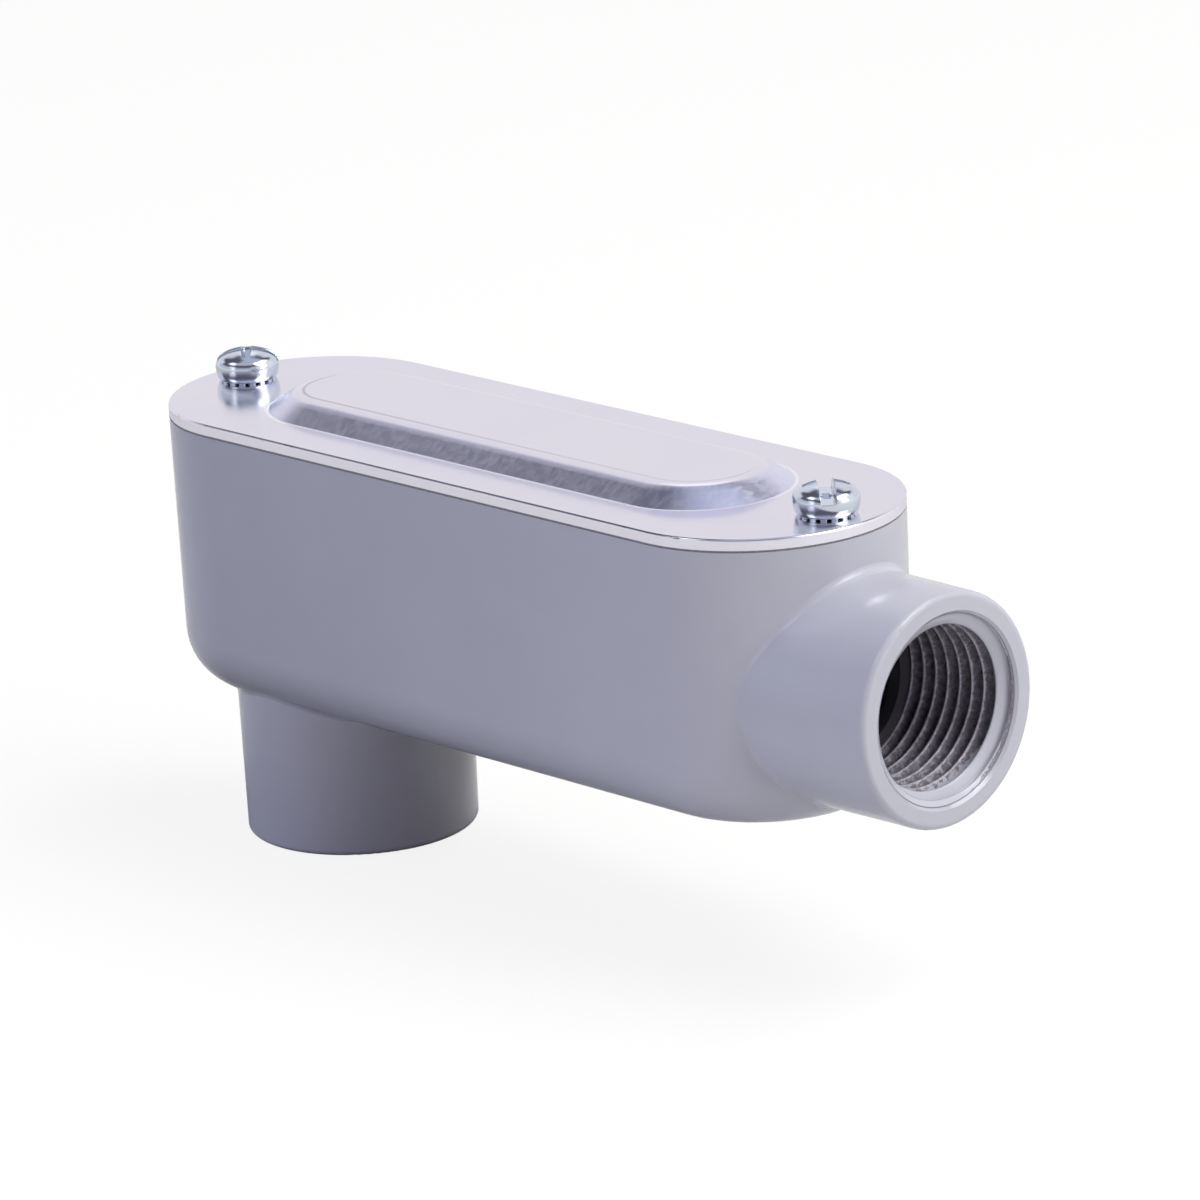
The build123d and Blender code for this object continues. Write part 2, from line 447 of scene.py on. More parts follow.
def oblong_distance(tree, middle_x, straight):
    """Distance in plan from a line along X whose middle is at middle_x and whose half length is
    straight. It is the same all round an oblong with round ends."""
    axes = object_axes(tree)
    along = maths(tree, "ABSOLUTE", maths(tree, "SUBTRACT", axes["X"], middle_x))
    past = maths(tree, "MAXIMUM", maths(tree, "SUBTRACT", along, straight), 0.0)
    squared = maths(tree, "MULTIPLY", past, past)
    return maths(tree, "SQRT", maths(tree, "MULTIPLY_ADD", axes["Y"], axes["Y"], squared))


def panel_masks(tree, settings, low, high):
    """Masks of the raised panel: its slope, a painted highlight along its foot, and a painted shade
    line along its crown, which is on one side only and fades towards the end hub."""
    away = oblong_distance(tree, (low.x + high.x) / 2, settings.panel_straight)
    flat = settings.panel_flat
    foot = settings.panel_foot
    slope = band(
        tree, away, start=flat + 1.0 * MM, full=flat + 1.7 * MM, fading=foot, end=foot + 0.15 * MM)
    # A painted highlight along the panel's foot.
    foot_highlight = band(
        tree, away, start=foot - 0.1 * MM, full=foot + 0.05 * MM,
        fading=foot + 0.25 * MM, end=foot + 0.5 * MM)
    # A painted shade line along the crown, on the near side only and fading towards the end hub.
    crease_line = flat + 0.1 * MM
    beside = maths(tree, "ABSOLUTE", maths(tree, "SUBTRACT", away, crease_line))
    crown_shade = ramp(tree, beside, 0.05 * MM, 0.3 * MM, out_low=1.0, out_high=0.0)
    axes = object_axes(tree)
    towards_end = ramp(tree, axes["X"], low.x, high.x, out_low=1.0, out_high=0.2)
    one_side = ramp(tree, axes["Y"], 0.0, 4.0 * MM, out_low=1.0, out_high=0.0)
    crown_shade = maths(tree, "MULTIPLY", maths(tree, "MULTIPLY", crown_shade, towards_end), one_side)
    return slope, foot_highlight, crown_shade


def edge_masks(tree, flat):
    """Masks of the sheet's cut edge: its sheared side, and the nicks in its top corner. flat is the
    height of the sheet's top."""
    height = object_axes(tree)["Z"]
    sheared = ramp(
        tree, height, flat - 0.24 * MM, flat - 0.14 * MM, out_low=1.0, out_high=0.0)
    corner = band(
        tree, height, start=flat - 0.34 * MM, full=flat - 0.26 * MM,
        fading=flat - 0.09 * MM, end=flat - 0.01 * MM)
    along_edge = place(tree, (420.0, 420.0, 1500.0))
    nicks = noise(tree, along_edge, scale=1.0, detail=3.0, roughness=0.6)
    return sheared, maths(tree, "MULTIPLY", ramp(tree, nicks, 0.6, 0.68), corner)


def bare_sheet(settings, groups):
    """Rolled aluminium sheet with a satin gloss: faint streaks along it and cloudy handling marks,
    a duller sheared edge with nicks, drawn metal, rubbed in short streaks, on the panel's slopes,
    with a bluer tone there that is painted reflection, a painted highlight along the panel's foot,
    and a painted shade line along its crown."""
    material, tree, shader = new_material("bare_sheet")
    low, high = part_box("cover")
    streaks = group_node(tree, groups["streak"], Along_X=160.0, Across=4200.0)["Height"]
    marks = group_node(tree, groups["smudge"], Size=7 * MM, Amount=0.05)["Shift"]
    grain = group_node(tree, groups["grain"], Size=0.16 * MM, Amount=0.05)
    cloudy = group_node(tree, groups["smudge"], Size=18 * MM, Amount=0.5)["Shift"]
    cloud = ramp(tree, cloudy, -0.3, 0.3)
    short_streaks = place(tree, (1900.0, 900.0, 900.0))
    rubbed = noise(tree, short_streaks, scale=1.0, detail=2.0, roughness=0.6)
    rubbed = ramp(tree, rubbed, 0.3, 0.7)
    slope, foot_highlight, crown_shade = panel_masks(tree, settings, low, high)
    sheared, nicked = edge_masks(tree, low.z + settings.sheet_thickness)

    sheet = tuple(settings.sheet)
    cool = (sheet[0] * 0.95, sheet[1] * 0.965, sheet[2])
    # Bluer on the slope: painted reflection, over the metal's own rubbed streaks.
    rubbed_slope_reflection = blend(tree, rubbed, tuple(settings.rubbed_slope_reflection_dark), tuple(settings.rubbed_slope_reflection_light))
    colour = blend(tree, slope, blend(tree, cloud, cool, sheet), rubbed_slope_reflection)
    # Painted highlight along the panel's foot.
    colour = blend(tree, foot_highlight, colour, tuple(settings.foot_highlight))
    # Painted shade along the near side of the panel's crown.
    faint = 0.6
    colour = blend(tree, maths(tree, "MULTIPLY", crown_shade, faint), colour, tuple(settings.crown_shade_colour))
    colour = blend(tree, sheared, colour, tuple(settings.sheared))
    nick_shade = scaled(sheet, 0.4)
    put(tree, shader.inputs["Base Color"], blend(tree, nicked, colour, nick_shade))
    shader.inputs["Metallic"].default_value = 1.0

    gloss = maths(tree, "MULTIPLY_ADD", streaks, 0.07, 0.11)
    gloss = maths(tree, "ADD", maths(tree, "ADD", gloss, marks), grain["Shift"])
    drawn_gloss = maths(tree, "MULTIPLY_ADD", rubbed, 0.08, 0.15)
    gloss = maths(tree, "MULTIPLY_ADD", slope, drawn_gloss, gloss)
    put(tree, shader.inputs["Roughness"], maths(tree, "MULTIPLY_ADD", sheared, 0.2, gloss))
    height = maths(tree, "MULTIPLY_ADD", grain["Height"], 0.5, streaks)
    height = maths(tree, "MULTIPLY_ADD", maths(tree, "MULTIPLY", rubbed, slope), 0.4, height)
    put(tree, shader.inputs["Normal"], bump(tree, height, strength=0.25, distance=0.012 * MM))
    return material


def zinc_plate(settings, groups):
    """Bright plated steel, a little dull and bluish, with faint grain, and painted shade, nearly
    black, in the gaps between the teeth."""
    material, tree, shader = new_material("bright_zinc")
    marks = group_node(tree, groups["smudge"], Size=2.5 * MM, Amount=0.05)["Shift"]
    grain = group_node(tree, groups["grain"], Size=0.12 * MM, Amount=0.05)
    gap_and_shade = attribute(tree, "gap_and_shade")
    # Nearly black in the gaps between the teeth: painted shade.
    painted_gap_shade = (0.03, 0.03, 0.03)
    shade = ramp(tree, marks, -0.05, 0.05)
    plated = blend(tree, shade, scaled(settings.plating, 0.9), tuple(settings.plating))
    put(tree, shader.inputs["Base Color"], blend(tree, gap_and_shade, plated, painted_gap_shade))
    shader.inputs["Metallic"].default_value = 1.0
    gloss = maths(tree, "MULTIPLY_ADD", gap_and_shade, 0.4, maths(tree, "ADD", 0.15, marks))
    put(tree, shader.inputs["Roughness"], maths(tree, "ADD", gloss, grain["Shift"]))
    fine = bump(tree, grain["Height"], strength=0.2, distance=0.01 * MM)
    put(tree, shader.inputs["Normal"], fine)
    return material


def gasket_rubber(settings, groups):
    """Matt black sheet rubber."""
    material, tree, shader = new_material("gasket_rubber")
    grain = group_node(tree, groups["grain"], Size=0.3 * MM, Amount=0.1)
    shade = ramp(tree, grain["Height"], 0.2, 0.8)
    colour = blend(tree, shade, tuple(settings.rubber), scaled(settings.rubber, 1.6))
    put(tree, shader.inputs["Base Color"], colour)
    put(tree, shader.inputs["Roughness"], maths(tree, "ADD", 0.75, grain["Shift"]))
    fine = bump(tree, grain["Height"], strength=0.3, distance=0.02 * MM)
    put(tree, shader.inputs["Normal"], fine)
    return material


def cut_thread(settings, groups):
    """Cut threads: enamel oversprayed on the mouth and left off in a thin painted shade line at its
    edge, bright crests that are partly worn metal and partly painted highlight, and dark torn metal
    in the grooves."""
    material, tree, shader = new_material("cut_thread")
    grain = group_node(tree, groups["grain"], Size=0.1 * MM, Amount=0.2)
    patches = noise(tree, place(tree), scale=1800.0, detail=3.0, roughness=0.65)
    ragged = maths(tree, "SUBTRACT", patches, 0.5)
    torn = maths(tree, "MULTIPLY", patches, grain["Height"])

    spray_ragged, shade_ragged = 1.1, 1.6
    sprayed = maths(tree, "MULTIPLY_ADD", ragged, spray_ragged, attribute(tree, "paint"))
    # Enamel left off in a thin line at the mouth's edge, so the dark metal paints shade there.
    shaded = maths(tree, "MULTIPLY_ADD", ragged, shade_ragged, attribute(tree, "edge_shade"))
    unshaded = ramp(tree, shaded, 0.5, 0.62, out_low=1.0, out_high=0.0)
    painted = maths(tree, "MULTIPLY", ramp(tree, sprayed, 0.42, 0.58), unshaded)
    unpainted = maths(tree, "SUBTRACT", 1.0, painted)

    dirty = ramp(tree, torn, 0.14, 0.42)
    deep, dull, bright = (scaled(settings.cut_metal, factor) for factor in (0.36, 0.92, 1.5))
    # Brighter metal on the crests: partly wear, partly painted highlight.
    crest = maths(tree, "MULTIPLY_ADD", patches, 0.45, attribute(tree, "crest"))
    crest_wear_and_highlight = ramp(tree, crest, 1.02, 1.24)
    metal = blend(tree, crest_wear_and_highlight, blend(tree, dirty, deep, dull), bright)
    put(tree, shader.inputs["Base Color"], blend(tree, painted, metal, tuple(settings.enamel)))
    put(tree, shader.inputs["Metallic"], maths(tree, "MULTIPLY", unpainted, 0.6))
    rough = maths(tree, "ADD", maths(tree, "MULTIPLY_ADD", crest_wear_and_highlight, -0.1, 0.42), grain["Shift"])
    put(tree, shader.inputs["Roughness"], maths(tree, "MULTIPLY_ADD", painted, -0.2, rough))
    height = maths(tree, "MULTIPLY", maths(tree, "ADD", torn, grain["Height"]), unpainted)
    put(tree, shader.inputs["Normal"], bump(tree, height, strength=0.7, distance=0.06 * MM))
    return material


# Surfaces


def mesh_piece(name, points, triangles, attributes=None):
    """A smooth piece from points and triangles. Points that coincide become one, and triangles that
    lose a corner by it go."""
    nearest = 0.0005 * MM
    keys = np.round(points / nearest).astype(np.int64)
    _, first, renamed = np.unique(keys, axis=0, return_index=True, return_inverse=True)
    corners = renamed.reshape(-1)[triangles]
    corners = corners[(corners != np.roll(corners, -1, axis=1)).all(axis=1)]
    mesh = bpy.data.meshes.new(name)
    mesh.vertices.add(len(first))
    mesh.vertices.foreach_set("co", points[first].astype(np.float32).ravel())
    mesh.loops.add(3 * len(corners))
    mesh.loops.foreach_set("vertex_index", corners.astype(np.int32).ravel())
    mesh.polygons.add(len(corners))
    mesh.polygons.foreach_set("loop_start", np.arange(0, 3 * len(corners), 3, dtype=np.int32))
    for label, values in (attributes or {}).items():
        layer = mesh.attributes.new(label, "FLOAT", "POINT")
        layer.data.foreach_set("value", values[first].astype(np.float32))
    mesh.update(calc_edges=True)
    mesh.validate()
    mesh.shade_smooth()
    piece = bpy.data.objects.new(name, mesh)
    bpy.context.scene.collection.objects.link(piece)
    return piece


def quads_to_triangles(a, b, c, d):
    """Two triangles for each quad with corners a, b, c and d in order."""
    return np.concatenate([
        np.stack([a, b, c], axis=-1).reshape(-1, 3),
        np.stack([a, c, d], axis=-1).reshape(-1, 3),
    ])


def ring_grid(rows, columns, shift=0):
    """Triangles of a grid that closes round in its column direction. The last column joins the
    first with its rows moved up by shift, as the turns of a helix do."""
    index = np.arange(rows * columns).reshape(rows, columns)
    this = index[:-1, :-1]
    flat = quads_to_triangles(this, index[:-1, 1:], index[1:, 1:], index[1:, :-1])
    count = rows - 1 - shift
    last = index[:count + 1, -1]
    first = index[shift:shift + count + 1, 0]
    seam = quads_to_triangles(last[:-1], first[:-1], first[1:], last[1:])
    return np.concatenate([flat, seam])


def thread_height(phase, crest_share, root_share):
    """1 on the crest and 0 at the root. phase is the place within a pitch, and the crest is at 0.
    The flanks are straight between the two flats, and their corners are eased."""
    from_crest = np.abs((phase + 0.5) % 1.0 - 0.5)
    flank = 0.5 - (crest_share + root_share) / 2
    share = np.clip((from_crest - crest_share / 2) / flank, 0.0, 1.0)
    eased = share * share * (3 - 2 * share)
    softness = 0.25
    return 1.0 - ((1.0 - softness) * share + softness * eased)


def threaded_sleeve(name, mount, inset, start, settings):
    """The cut thread of one hub as a closed sleeve inside the casting's bore.

    Inside, a point's depth grows with its row and, by one pitch, with each turn round, so that the
    grid follows the helix. Its radius is the thread's own or the mouth's cone, whichever is larger.
    Outside is a plain cylinder. Its attributes are 1 where enamel covers it (paint), on the crests
    (crest) and along the stretch of the mouth's edge where the enamel is left off so that the dark
    metal paints a thin shade line. On the low side of the end hub the enamel reaches farther in,
    and some of it dusts the grooves, which makes that side lighter: partly painted light."""
    outward = np.array(mount["axis"], float)
    inward = -outward
    side = np.array([0.0, 1.0, 0.0])
    low = np.cross(inward, side)
    mouth = np.array(mount["pos_m"], float) + inset * inward
    outer = mount["dims"]["r_mm"] * MM - settings.bore_gap
    root = outer - settings.shell
    crest = root - settings.ridge_height
    length = mount["dims"]["length_mm"] * MM
    pitch = settings.pitch

    per_pitch = settings.steps_along
    columns = settings.steps_round
    rows = per_pitch * (math.ceil(length / pitch) + 2) + 1
    row = np.arange(rows)[:, None] / per_pitch - 1.0
    turn = np.arange(columns)[None, :] / columns
    depth = np.clip(pitch * (row + turn), 0.0, length)
    height = thread_height(depth / pitch - turn, settings.crest_share, settings.root_share)
    thread = root + (crest - root) * height
    cone = root - settings.mouth_slope * depth
    radius = np.maximum(thread, cone)
    angle = 2 * math.pi * turn + start
    around = np.cos(angle)[..., None] * side + np.sin(angle)[..., None] * low
    inner = mouth + depth[..., None] * inward + radius[..., None] * around

    # The painted shade line along the mouth's edge, where the enamel is left off, ends within one
    # and a half times its depth, and fades out away from the side it is centred on.
    shade_side = math.radians(20.0)
    shaded = np.clip(1.5 - depth / settings.edge_shade_depth, 0.0, 1.0)
    shaded = shaded * np.clip(1.6 * np.cos(angle - shade_side) - 0.6, 0.0, 1.0)
    # Enamel covers the mouth's cone and reaches some way in. On the low side it reaches farther and
    # dusts the grooves, which makes that side lighter: partly painted light.
    cone_edge = 0.12 * MM
    spray_edge = 0.8 * MM
    on_cone = np.clip((cone - thread) / cone_edge + 0.4, 0.0, 1.0)
    reach = settings.overspray * (1.0 + settings.low_reach_and_light * np.clip(np.sin(angle), 0.0, 1.0))
    sprayed = np.clip((reach - depth) / spray_edge + 0.5, 0.0, 1.0)
    low_dusted_and_lit = settings.low_dust_and_light * np.clip(2.0 * np.sin(angle) - 0.8, 0.0, 1.0)
    painted = np.maximum(on_cone, np.maximum(sprayed, low_dusted_and_lit))

    ends = np.array([0.0, length])[:, None]
    outside = mouth + ends[..., None] * inward + outer * around
    count = rows * columns
    points = np.concatenate([inner.reshape(-1, 3), outside.reshape(-1, 3)])
    paint = np.concatenate([painted.ravel(), np.ones(2 * columns)])
    crest_mark = np.concatenate([height.ravel(), np.zeros(2 * columns)])
    edge_shade_mark = np.concatenate([shaded.ravel(), np.zeros(2 * columns)])

    inside_faces = ring_grid(rows, columns, per_pitch)
    outside_faces = count + ring_grid(2, columns)[:, ::-1]
    index = np.arange(columns)
    after = (index + 1) % columns
    first_row = np.where(index == columns - 1, per_pitch, 0)
    near = quads_to_triangles(index, first_row * columns + after, count + after, count + index)
    last_row = np.where(index == columns - 1, rows - 1 - per_pitch, rows - 1)
    far_own = last_row * columns + index
    far = quads_to_triangles(
        far_own, count + columns + index, count + columns + after, (rows - 1) * columns + after)
    triangles = np.concatenate([inside_faces, outside_faces, near[:, ::-1], far[:, ::-1]])
    attributes = {"paint": paint, "crest": crest_mark, "edge_shade": edge_shade_mark}
    return mesh_piece(name, points, triangles, attributes)


def smooth_least(first, second, radius):
    """The lesser of two arrays, with the corner between them rounded over radius."""
    share = np.clip(0.5 + 0.5 * (second - first) / radius, 0.0, 1.0)
    return second + (first - second) * share - radius * share * (1.0 - share)


def trench(across, along, half_width, floor, wall_slope, reach=None, floor_rise=0.0):
    """Height of a straight recess: level or rising at its floor, with steep walls on both sides
    and, where reach is given, at its ends."""
    height = floor + floor_rise * np.abs(along)
    height = height + wall_slope * np.maximum(np.abs(across) - half_width, 0.0)
    if reach is not None:
        height = height + wall_slope * np.maximum(np.abs(along) - reach, 0.0)
    return height


def screw_meridian(settings, radius, shank_end, head_base):
    """Half outline of a screw, from the top of its head down to the end of its shank, as radii and
    heights: the crown's arc, the shoulder's smaller arc inside it, the side, which draws in to the
    foot as a quarter ellipse, the toothed edge under it and the shank."""
    crown_centre = head_base + settings.head_height - settings.crown
    shoulder_x = radius - settings.shoulder
    between = settings.crown - settings.shoulder
    lean = math.asin(shoulder_x / between)
    shoulder_centre = crown_centre + between * math.cos(lean)
    crown_points, shoulder_points, side_points, toothed_points = 58, 26, 32, 8
    turn = np.linspace(0.0, lean, crown_points)
    crown_radii = settings.crown * np.sin(turn)
    crown_heights = crown_centre + settings.crown * np.cos(turn)
    turn = np.linspace(lean, math.pi / 2, shoulder_points)[1:]
    shoulder_radii = shoulder_x + settings.shoulder * np.sin(turn)
    shoulder_heights = shoulder_centre + settings.shoulder * np.cos(turn)
    foot_low = head_base + settings.tooth_height
    turn = np.linspace(0.0, math.pi / 2, side_points)[1:]
    toothed_radius = radius - settings.foot
    side_radii = toothed_radius + settings.foot * np.cos(turn)
    side_heights = shoulder_centre - (shoulder_centre - foot_low) * np.sin(turn)
    toothed = np.linspace(foot_low - 0.02 * MM, head_base + 0.02 * MM, toothed_points)
    shank_radius = settings.shank_radius
    neck = 0.2 * MM
    point = 0.6 * MM
    under = np.array([toothed_radius - 0.05 * MM, shank_radius + neck, shank_radius])
    under_heights = np.array([head_base, head_base, head_base - neck])
    shank = np.array([shank_radius, shank_radius - point, 0.0])
    shank_heights = np.array([shank_end + point, shank_end, shank_end])
    toothed_radii = np.full(len(toothed), toothed_radius)
    radii = [crown_radii, shoulder_radii, side_radii, toothed_radii, under, shank]
    heights = [crown_heights, shoulder_heights, side_heights, toothed, under_heights, shank_heights]
    return np.concatenate(radii), np.concatenate(heights)


def screw_piece(name, node, turn_angle, settings):
    """A cover screw: its half outline turned about its axis, with the teeth cut in at the edge of
    the head, and the slot and the cross recess taken down from the top."""
    low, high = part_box(node)
    centre = (low + high) / 2
    radius = min(high.x - low.x, high.y - low.y) / 2 - 0.01 * MM
    head_base = low.z + settings.shank_length
    radii, heights = screw_meridian(settings, radius, low.z + 0.02 * MM, head_base)
    columns = 320
    angle = 2 * math.pi * np.arange(columns)[None, :] / columns
    height = np.repeat(heights[:, None], columns, axis=1)
    wide = np.repeat(radii[:, None], columns, axis=1)

    below_foot = height < head_base + settings.tooth_height - 0.01 * MM
    edge = below_foot * (wide > radius - settings.foot - 0.1 * MM)
    gap_steepness = 4.0
    # Where the teeth are cut apart; the same mask gives the finish its painted shade in the gaps.
    gap_and_shade = edge * np.clip(gap_steepness * np.cos(settings.teeth * angle) - 1.0, 0.0, 1.0)
    wide = wide - settings.tooth_depth * gap_and_shade

    along = wide * np.cos(angle)
    across = wide * np.sin(angle)
    top = head_base + settings.head_height
    slot_wall, cross_wall = 14.0, 8.0
    recess = trench(across, along, settings.slot_width / 2, top - settings.slot_depth, slot_wall)
    rise = 0.6 * settings.cross_depth / settings.cross_reach
    floor = top - settings.cross_depth
    half_floor = 0.3 * settings.cross_width
    for first, second in ((across, along), (along, across)):
        arm = trench(first, second, half_floor, floor, cross_wall, settings.cross_reach, rise)
        recess = np.minimum(recess, arm)
    in_head = height > head_base + settings.tooth_height
    height = np.where(in_head, smooth_least(height, recess, settings.edge_round), height)

    turned = angle + turn_angle
    x = centre.x + wide * np.cos(turned)
    y = centre.y + wide * np.sin(turned)
    points = np.stack([x, y, height], axis=-1).reshape(-1, 3)
    triangles = ring_grid(len(radii), columns)[:, ::-1]
    return mesh_piece(name, points, triangles, {"gap_and_shade": gap_and_shade.ravel()})


# Operators


def dress(node, material):
    """Gives a piece of the frame one finish."""
    materials = frame["nodes"][node].data.materials
    materials.clear()
    materials.append(material)


class CONDUIT_OT_finish_casting(bpy.types.Operator):
    """Give the casting its enamel"""

    bl_idname = "conduit.finish_casting"
    bl_label = "Finish Casting"

    def execute(self, context):
        dress("body_casting", enamel(context.scene.conduit_finish, effect_groups()))
        return {"FINISHED"}


class CONDUIT_OT_cut_threads(bpy.types.Operator):
    """Cut the internal thread in both hubs"""

    bl_idname = "conduit.cut_threads"
    bl_label = "Cut Threads"

    def execute(self, context):
        settings = context.scene.conduit_threads
        material = cut_thread(context.scene.conduit_finish, effect_groups())
        hubs = (
            ("end_hub", 0.0, settings.end_start),
            ("back_hub", settings.back_inset, settings.back_start),
        )
        for name, inset, start in hubs:
            piece = threaded_sleeve(name + "_thread", mounts[name], inset, start, settings)
            piece.data.materials.append(material)
            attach(piece, "root")
        return {"FINISHED"}


class CONDUIT_OT_finish_cover(bpy.types.Operator):
    """Give the cover its bare rolled sheet"""

    bl_idname = "conduit.finish_cover"
    bl_label = "Finish Cover"

    def execute(self, context):
        dress("cover", bare_sheet(context.scene.conduit_finish, effect_groups()))
        return {"FINISHED"}


class CONDUIT_OT_finish_gasket(bpy.types.Operator):
    """Give the gasket its matt rubber"""

    bl_idname = "conduit.finish_gasket"
    bl_label = "Finish Gasket"

    def execute(self, context):
        dress("gasket", gasket_rubber(context.scene.conduit_finish, effect_groups()))
        return {"FINISHED"}


class CONDUIT_OT_fit_screws(bpy.types.Operator):
    """Make both cover screws with their recesses and teeth"""

    bl_idname = "conduit.fit_screws"
    bl_label = "Fit Screws"

    def execute(self, context):
        settings = context.scene.conduit_screws
        material = zinc_plate(context.scene.conduit_finish, effect_groups())
        for side, turn_angle in (("left", settings.left_turn), ("right", settings.right_turn)):
            node = "cover_screw_" + side
            piece = screw_piece(side + "_screw", node, turn_angle, settings)
            piece.data.materials.append(material)
            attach(piece, "root")
            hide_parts(node)
        return {"FINISHED"}


class CONDUIT_OT_set_stage(bpy.types.Operator):
    """Set the camera, the floor, the backdrop and the studio lights"""

    bl_idname = "conduit.set_stage"
    bl_label = "Set Stage"

    def execute(self, context):
        settings = context.scene.conduit_stage
        context.scene.view_settings.view_transform = "Standard"
        set_camera(settings)
        set_world(settings)
        set_floor(settings)
        set_lights()
        return {"FINISHED"}


# Stage


# Each lamp: its name, azimuth and elevation in degrees, and radiance.
LAMPS = (
    ("key_right", 107, 58, (3.5, 3.55, 3.45)),
    ("key_back_right", 135, 58, (5.1, 5.1, 4.95)),
    ("low_right", 97, 22, (3.05, 2.95, 2.85)),
    ("front_left", 315, 17, (2.74, 2.98, 3.45)),
    ("front", 0, 17, (1.31, 1.17, 1.62)),
    ("left", 270, 22, (0.9, 0.87, 0.77)),
    ("back", 190, 58, (1.0, 0.85, 0.75)),
)
# What the metal mirrors where there is no panel.
ROOM = (0.11, 0.11, 0.14)
# Each panel: its azimuth, half width, lowest and highest elevation and soft edge in degrees, and
# its colour.
PANELS = (
    (220, 78, -20, 35, 5, (0.84, 0.82, 0.87)),
    (222, 34, -20, 49, 5, (0.84, 0.82, 0.87)),
    (227, 13, 40, 56, 4, (1.15, 1.12, 1.20)),
    (110, 48, -20, 24, 5, (0.96, 0.94, 0.96)),
    (35, 50, -20, 20, 6, (0.50, 0.52, 0.60)),
    (47, 55, 46, 76, 5, (0.55, 0.56, 0.66)),
    (350, 12, -20, 26, 4, (1.25, 1.25, 1.35)),
    (318, 30, -20, 20, 5, (0.62, 0.64, 0.71)),
    (120, 34, 20, 46, 5, (0.95, 0.94, 0.95)),
    (112, 12, 4, 46, 4, (2.2, 2.2, 2.2)),
    (120, 34, 42, 58, 5, (3.9, 3.85, 3.85)),
    (108, 14, 36, 56, 4, (6.5, 6.4, 6.4)),
    (335, 15, 40, 57, 5, (2.0, 2.1, 2.3)),
    (172, 75, 61, 83, 4, (0.52, 0.565, 0.72)),
    (0, 181, 77, 95, 4, (0.51, 0.54, 0.65)),
)


def direction(azimuth, elevation):
    """Unit vector towards an azimuth, where 0 is -Y and a quarter turn is +X, and an elevation."""
    flat = math.cos(elevation)
    return Vector((math.sin(azimuth) * flat, -math.cos(azimuth) * flat, math.sin(elevation)))


def set_camera(settings):
    """The camera looks at the target from its azimuth and elevation, turned by its roll."""
    back = direction(settings.azimuth, settings.elevation)
    level = Vector((math.cos(settings.azimuth), math.sin(settings.azimuth), 0.0))
    above = back.cross(level)
    right = math.cos(settings.roll) * level + math.sin(settings.roll) * above
    up = back.cross(right)
    data = bpy.data.cameras.new("camera")
    data.lens = settings.lens
    data.sensor_width = 36.0
    data.clip_start = 0.05
    data.clip_end = 50.0
    camera = bpy.data.objects.new("camera", data)
    camera.matrix_world = Matrix((
        (right.x, up.x, back.x, 0.0),
        (right.y, up.y, back.y, 0.0),
        (right.z, up.z, back.z, 0.0),
        (0.0, 0.0, 0.0, 1.0),
    ))
    camera.location = Vector(settings.target) + back * settings.distance
    bpy.context.scene.collection.objects.link(camera)
    bpy.context.scene.camera = camera


def panel_share(tree, towards, azimuth, half_width, low, high, edge):
    """1 in the directions within half_width of an azimuth and between two elevations, with soft
    edges. All are in degrees."""
    ahead = direction(math.radians(azimuth), 0.0)
    aside = direction(math.radians(azimuth + 90.0), 0.0)
    forward = vector_maths(tree, "DOT_PRODUCT", towards, ahead, "Value")
    sideways = vector_maths(tree, "DOT_PRODUCT", towards, aside, "Value")
    upward = vector_maths(tree, "DOT_PRODUCT", towards, (0.0, 0.0, 1.0), "Value")
    turned = maths(tree, "ABSOLUTE", maths(tree, "ARCTAN2", sideways, forward))
    raised = maths(tree, "ARCSINE", upward)
    wide, bottom, top, soft = (math.radians(part) for part in (half_width, low, high, edge))
    across = ramp(tree, turned, wide - soft, wide + soft, out_low=1.0, out_high=0.0)
    upright = band(tree, raised, bottom - soft, bottom + soft, top - soft, top + soft)
    return maths(tree, "MULTIPLY", across, upright)


def light_path(tree):
    """Two shares: 1 for what the camera sees, straight or through glass, and 1 for what is
    mirrored."""
    path = tree.nodes.new("ShaderNodeLightPath").outputs
    seen = maths(tree, "MAXIMUM", path["Is Camera Ray"], path["Is Transmission Ray"])
    return seen, path["Is Glossy Ray"]


def set_world(settings):
    """The studio round the part: white to the camera, an even fill of light, and for the metal to
    mirror, a dim room with soft panels."""
    world = bpy.data.worlds.new("studio")
    tree = empty_tree(world)
    output = tree.nodes.new("ShaderNodeOutputWorld")
    background = tree.nodes.new("ShaderNodeBackground")
    towards = tree.nodes.new("ShaderNodeTexCoord").outputs["Generated"]
    studio = ROOM
    for azimuth, half_width, low, high, edge, shade in PANELS:
        share = panel_share(tree, towards, azimuth, half_width, low, high, edge)
        studio = blend(tree, share, studio, shade)
    seen, mirrored = light_path(tree)
    unseen = blend(tree, mirrored, (settings.fill,) * 3, studio)
    put(tree, background.inputs["Color"], blend(tree, seen, unseen, (1.0, 1.0, 1.0)))
    tree.links.new(background.outputs["Background"], output.inputs["Surface"])
    bpy.context.scene.world = world


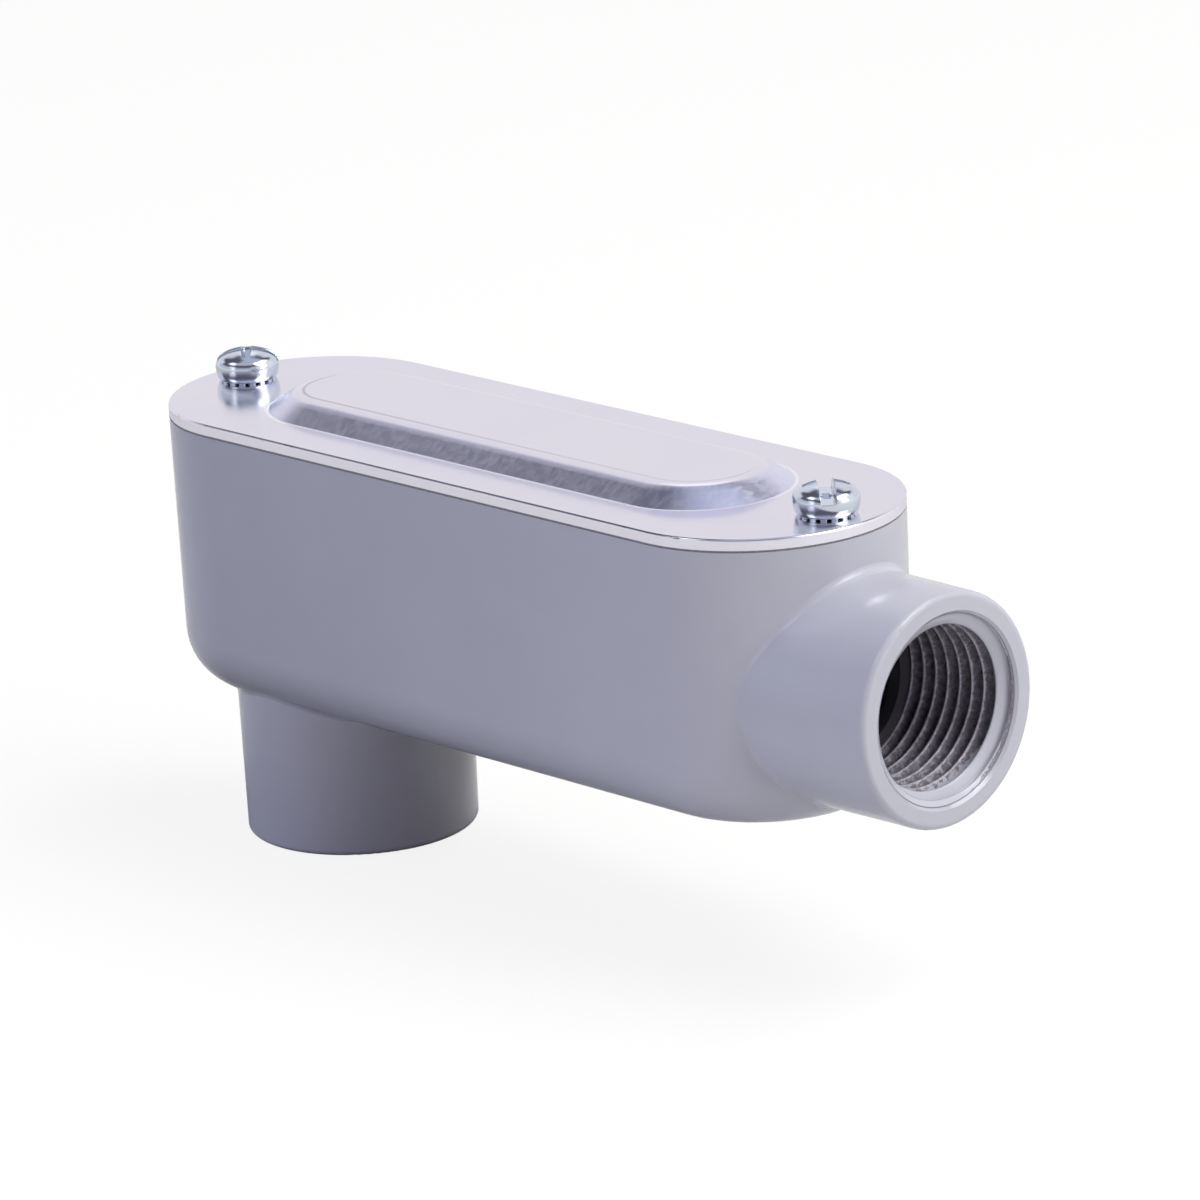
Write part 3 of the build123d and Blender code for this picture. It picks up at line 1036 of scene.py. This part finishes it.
def floor_material():
    """White paper. To the camera it is close to plain white, with a light shadow. What is glossy
    mirrors it as it is lit near the part and as an even glow farther off. It throws little light
    back under the back hub, and more under the end hub."""
    seen_white, mirrored_white = 0.8, 0.54
    seen_glow, far_glow = 0.86, 0.84
    least_back, most_back, most_back_x = 0.06, 0.67, 0.09
    glow_start, glow_full = 0.3, 0.7
    material = bpy.data.materials.new("floor_paper")
    tree = empty_tree(material)
    output = tree.nodes.new("ShaderNodeOutputMaterial")
    seen, mirrored = light_path(tree)
    thrown_back = ramp(tree, object_axes(tree)["X"], 0.0, most_back_x, least_back, most_back)
    unseen = ramp(tree, mirrored, 0.0, 1.0, thrown_back, mirrored_white)
    albedo = ramp(tree, seen, 0.0, 1.0, unseen, seen_white)
    paper = tree.nodes.new("ShaderNodeBsdfDiffuse")
    put(tree, paper.inputs["Color"], blend(tree, albedo, (0.0, 0.0, 0.0), (1.0, 1.0, 1.0)))
    away = vector_maths(tree, "LENGTH", object_place(tree), output="Value")
    far = ramp(tree, away, glow_start, glow_full, 0.0, far_glow)
    far_share = maths(tree, "MULTIPLY", mirrored, far)
    glow = tree.nodes.new("ShaderNodeEmission")
    mixed = tree.nodes.new("ShaderNodeMixShader")
    seen_share = maths(tree, "MULTIPLY", seen, seen_glow)
    put(tree, mixed.inputs[0], maths(tree, "MAXIMUM", seen_share, far_share))
    tree.links.new(paper.outputs["BSDF"], mixed.inputs[1])
    tree.links.new(glow.outputs["Emission"], mixed.inputs[2])
    tree.links.new(mixed.outputs["Shader"], output.inputs["Surface"])
    return material


def set_floor(settings):
    """A square floor just under the lowest point of the part."""
    half = settings.floor_size / 2
    level = cad_box[0].z - 0.02 * MM
    mesh = bpy.data.meshes.new("floor")
    corners = [(x * half, y * half, level) for x, y in ((-1, -1), (1, -1), (1, 1), (-1, 1))]
    mesh.from_pydata(corners, [], [(0, 1, 2, 3)])
    mesh.materials.append(floor_material())
    floor = bpy.data.objects.new("floor", mesh)
    bpy.context.scene.collection.objects.link(floor)


def soft_box(name, azimuth, elevation, radiance, size=0.8, distance=1.2):
    """A square lamp of even radiance, given for each colour, which faces the middle of the part.
    What the metal mirrors in its place is a panel of the studio."""
    brightest = max(radiance)
    data = bpy.data.lights.new(name, "AREA")
    data.shape = "SQUARE"
    data.size = size
    data.energy = math.pi * size * size * brightest
    data.color = [part / brightest for part in radiance]
    lamp = bpy.data.objects.new(name, data)
    middle = (cad_box[0] + cad_box[1]) / 2
    towards = direction(math.radians(azimuth), math.radians(elevation))
    lamp.location = middle + distance * towards
    lamp.rotation_mode = "QUATERNION"
    lamp.rotation_quaternion = towards.to_track_quat("Z", "Y")
    lamp.visible_glossy = False
    bpy.context.scene.collection.objects.link(lamp)


def set_lights():
    """Soft boxes round the part."""
    for name, azimuth, elevation, radiance in LAMPS:
        soft_box(name, azimuth, elevation, radiance)


class CONDUIT_PT_panel(bpy.types.Panel):
    """Lists the steps that finish the part"""

    bl_label = "Conduit Body"
    bl_space_type = "VIEW_3D"
    bl_region_type = "UI"
    bl_category = "Conduit Body"

    def draw(self, context):
        for operator in STEPS:
            self.layout.operator(operator.bl_idname)
        for group in SETTINGS:
            box = self.layout.box()
            box.label(text=group)
            settings = getattr(context.scene, group)
            for name in settings.__annotations__:
                box.prop(settings, name)


STEPS = (
    CONDUIT_OT_finish_casting,
    CONDUIT_OT_cut_threads,
    CONDUIT_OT_finish_gasket,
    CONDUIT_OT_finish_cover,
    CONDUIT_OT_fit_screws,
    CONDUIT_OT_set_stage,
)
SETTINGS = {
    "conduit_threads": ThreadSettings,
    "conduit_screws": ScrewSettings,
    "conduit_finish": FinishSettings,
    "conduit_stage": StageSettings,
}


def register():
    for group in SETTINGS.values():
        bpy.utils.register_class(group)
    for name, group in SETTINGS.items():
        setattr(bpy.types.Scene, name, PointerProperty(type=group))
    for operator in STEPS:
        bpy.utils.register_class(operator)
    bpy.utils.register_class(CONDUIT_PT_panel)


def unregister():
    bpy.utils.unregister_class(CONDUIT_PT_panel)
    for operator in reversed(STEPS):
        bpy.utils.unregister_class(operator)
    for name, group in SETTINGS.items():
        delattr(bpy.types.Scene, name)
        bpy.utils.unregister_class(group)


def main():
    register()
    bpy.ops.conduit.finish_casting()
    bpy.ops.conduit.cut_threads()
    bpy.ops.conduit.finish_gasket()
    bpy.ops.conduit.finish_cover()
    bpy.ops.conduit.fit_screws()
    bpy.ops.conduit.set_stage()


if __name__ == "__main__":
    main()
